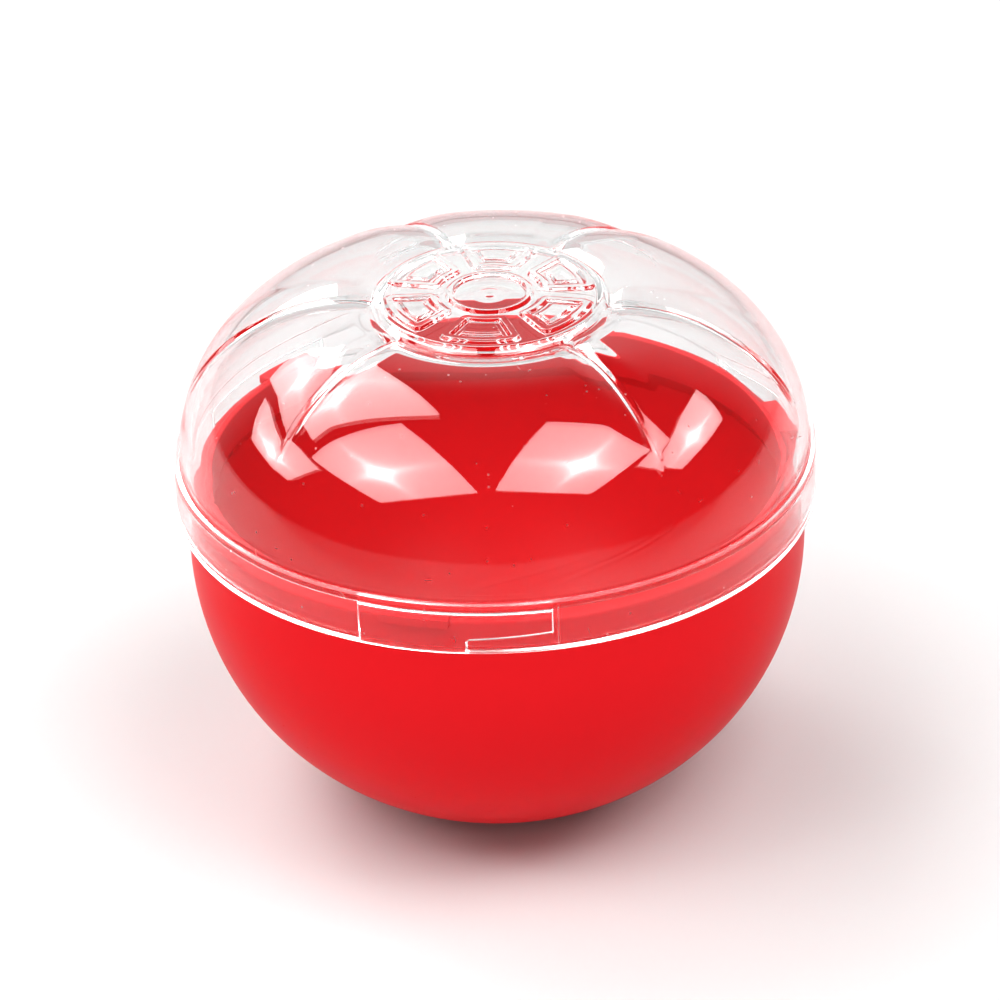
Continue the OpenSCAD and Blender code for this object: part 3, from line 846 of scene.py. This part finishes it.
def room(dim, screens):
    """The room: dim overhead and in front, with white screens behind the object.

    Rays that have been turned round inside the clear plastic find it a third lit all round, and what
    is looked at straight, or straight through the lid, stands against white."""
    turned_share, straight_share = 0.3, 1.3
    world = bpy.data.worlds.new("Room")
    world.use_nodes = True
    tree = world.node_tree
    way = tree.nodes.new("ShaderNodeTexCoord").outputs["Generated"]
    split = node(tree, "ShaderNodeSeparateXYZ")
    tree.links.new(way, split.inputs[0])
    ahead = node(tree, "ShaderNodeVectorMath", operation="DOT_PRODUCT")
    ahead.inputs[1].default_value = towards_camera(0)
    tree.links.new(way, ahead.inputs[0])
    masks = []
    for value, low, high in ((split.outputs["Z"], 0.60, 0.88), (ahead.outputs["Value"], -0.75, -0.30)):
        step = node(tree, "ShaderNodeMapRange", interpolation_type="SMOOTHSTEP", From_Min=low, From_Max=high,
                    To_Min=1.0, To_Max=0.0)
        tree.links.new(value, step.inputs["Value"])
        masks.append(step.outputs["Result"])
    path = tree.nodes.new("ShaderNodeLightPath").outputs
    turned = maths(tree, "GREATER_THAN", path["Glossy Depth"], 1.5)
    white = maths(tree, "MAXIMUM", maths(tree, "MULTIPLY", *masks),
                  maths(tree, "MULTIPLY", turned, turned_share))
    unturned = maths(tree, "MULTIPLY", path["Is Transmission Ray"],
                     maths(tree, "LESS_THAN", path["Glossy Depth"], 0.5))
    straight = maths(tree, "MAXIMUM", path["Is Camera Ray"], unturned)
    white = maths(tree, "MAXIMUM", white, maths(tree, "MULTIPLY", straight, straight_share))
    level = maths(tree, "MULTIPLY", white, screens - dim)
    tree.links.new(maths(tree, "ADD", level, dim), tree.nodes["Background"].inputs["Strength"])
    tree.nodes["Background"].inputs["Color"].default_value = (1, 1, 1, 1)
    return world


class CAPSULE_OT_stage(Operator):
    """Makes the camera, the soft boxes, the room and the pale floor."""
    bl_idname = "capsule.stage"
    bl_label = "Stage"

    def execute(self, context):
        scene = context.scene
        studio, finish = scene.capsule.studio, scene.capsule.finish
        data = bpy.data.cameras.new("Camera")
        data.sensor_width = 36.0
        data.lens = 230.4
        data.shift_x = 0.0036
        data.clip_start, data.clip_end = 0.05, 20.0
        camera = bpy.data.objects.new("Camera", data)
        scene.collection.objects.link(camera)
        scene.camera = camera
        out = towards_camera(CAMERA_RISE)
        right = Vector((math.cos(CAMERA_TURN), math.sin(CAMERA_TURN), 0))
        up = out.cross(right)
        c, s = math.cos(CAMERA_ROLL), math.sin(CAMERA_ROLL)
        right, up = c * right - s * up, c * up + s * right
        place = Vector((0, 0, studio.aim)) + out * studio.distance
        camera.matrix_world = Matrix.Translation(place) @ Matrix((right, up, out)).transposed().to_4x4()

        for name, box in SOFT_BOXES.items():
            soft_box(name, box, studio.ceiling, studio.radiance)
            shine = soft_box(name + " Shine", box, studio.ceiling * SHINE_GAP,
                             studio.radiance * studio.shine)
            shine.visible_diffuse = shine.visible_transmission = False
        front_fill(studio.distance * 1.6, studio.fill)

        scene.world = room(studio.ambient, studio.screens)

        half, steps = 3.0, 13
        g = np.linspace(-half, half, steps)
        x, y = np.meshgrid(g, g)
        co = np.stack([x, y, 0 * x], -1).reshape(-1, 3)
        i = (np.arange(steps - 1)[:, None] * steps + np.arange(steps - 1)).ravel()
        loops = np.stack([i, i + 1, i + steps + 1, i + steps], -1).ravel().astype(np.int32)
        floor = mesh_object("studio_floor", co, loops, (np.arange(len(i)) * 4).astype(np.int32))
        floor.data.materials.append(floor_finish(finish.floor))
        scene.view_settings.view_transform = "Standard"
        scene.view_settings.look = "None"
        scene.view_settings.gamma = 0.84
        return {"FINISHED"}


class CAPSULE_OT_bowl(Operator):
    """Makes the red bowl with its neck and lugs, in place of the CAD bowl."""
    bl_idname = "capsule.bowl"
    bl_label = "Bowl"

    def execute(self, context):
        settings = context.scene.capsule
        bowl = bowl_shape(values(settings.bowl, 1000), values(settings.turns, 180 / math.pi))
        finish = moulded_plastic("Red Plastic", settings.finish.red, roughness=0.36, specular=0.06,
                                 cloud=0.02, grain=3000.0)
        bowl.data.materials.append(finish)
        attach(bowl, "bowl")
        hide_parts("bowl")
        return {"FINISHED"}


class CAPSULE_OT_lid(Operator):
    """Makes the clear lid: raised disc with relief, lobed dome, and skirt with its pockets."""
    bl_idname = "capsule.lid"
    bl_label = "Lid"

    def execute(self, context):
        settings = context.scene.capsule
        lid = lid_shape(values(settings.lid, 1000), values(settings.turns, 180 / math.pi))
        lid.data.materials.append(clear_plastic("Clear Plastic", settings.finish.clear))
        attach(lid, "lid")
        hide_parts("lid")
        return {"FINISHED"}


class CAPSULE_OT_beads(Operator):
    """Makes the loose beads, each where its CAD bead lies, with its parting line at its own tilt."""
    bl_idname = "capsule.beads"
    bl_label = "Beads"

    def execute(self, context):
        if not BEAD_NODES:
            raise RuntimeError("the frame holds no bead to build on")
        finish = moulded_plastic("Cream Plastic", context.scene.capsule.finish.cream, roughness=0.30,
                                 specular=0.5, cloud=0.05, grain=2500.0)
        draw = np.random.default_rng(19)
        for name in BEAD_NODES:
            low, high = (np.array(v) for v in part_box(name))
            tilt, _ = np.linalg.qr(draw.normal(size=(3, 3)))
            tilt = tilt * np.sign(np.linalg.det(tilt))
            bead = bead_shape(name + "_ball", (low + high) / 2, (high - low).min() / 2, tilt)
            bead.data.materials.append(finish)
            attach(bead, NODE_BODY[name])
            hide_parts(name)
        return {"FINISHED"}


class CAPSULE_PT_panel(Panel):
    """Lists the capsule's operators in the sidebar."""
    bl_idname = "CAPSULE_PT_panel"
    bl_label = "Capsule shaker"
    bl_space_type = "VIEW_3D"
    bl_region_type = "UI"
    bl_category = "Capsule"

    def draw(self, context):
        for operator in OPERATORS:
            self.layout.operator(operator.bl_idname)


OPERATORS = (CAPSULE_OT_stage, CAPSULE_OT_bowl, CAPSULE_OT_lid, CAPSULE_OT_beads)
SETTINGS = (BowlSizes, LidSizes, BayonetTurns, Finishes, Studio, CapsuleSettings)
CLASSES = SETTINGS + OPERATORS + (CAPSULE_PT_panel,)


def register():
    for cls in CLASSES:
        bpy.utils.register_class(cls)
    bpy.types.Scene.capsule = PointerProperty(type=CapsuleSettings, name="Capsule",
                                              description="Capsule shaker")


def unregister():
    del bpy.types.Scene.capsule
    for cls in reversed(CLASSES):
        bpy.utils.unregister_class(cls)


def main():
    """Registers the add-on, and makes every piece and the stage."""
    register()
    for operator in OPERATORS:
        area, verb = operator.bl_idname.split(".")
        getattr(getattr(bpy.ops, area), verb)()


if __name__ == "__main__":
    main()
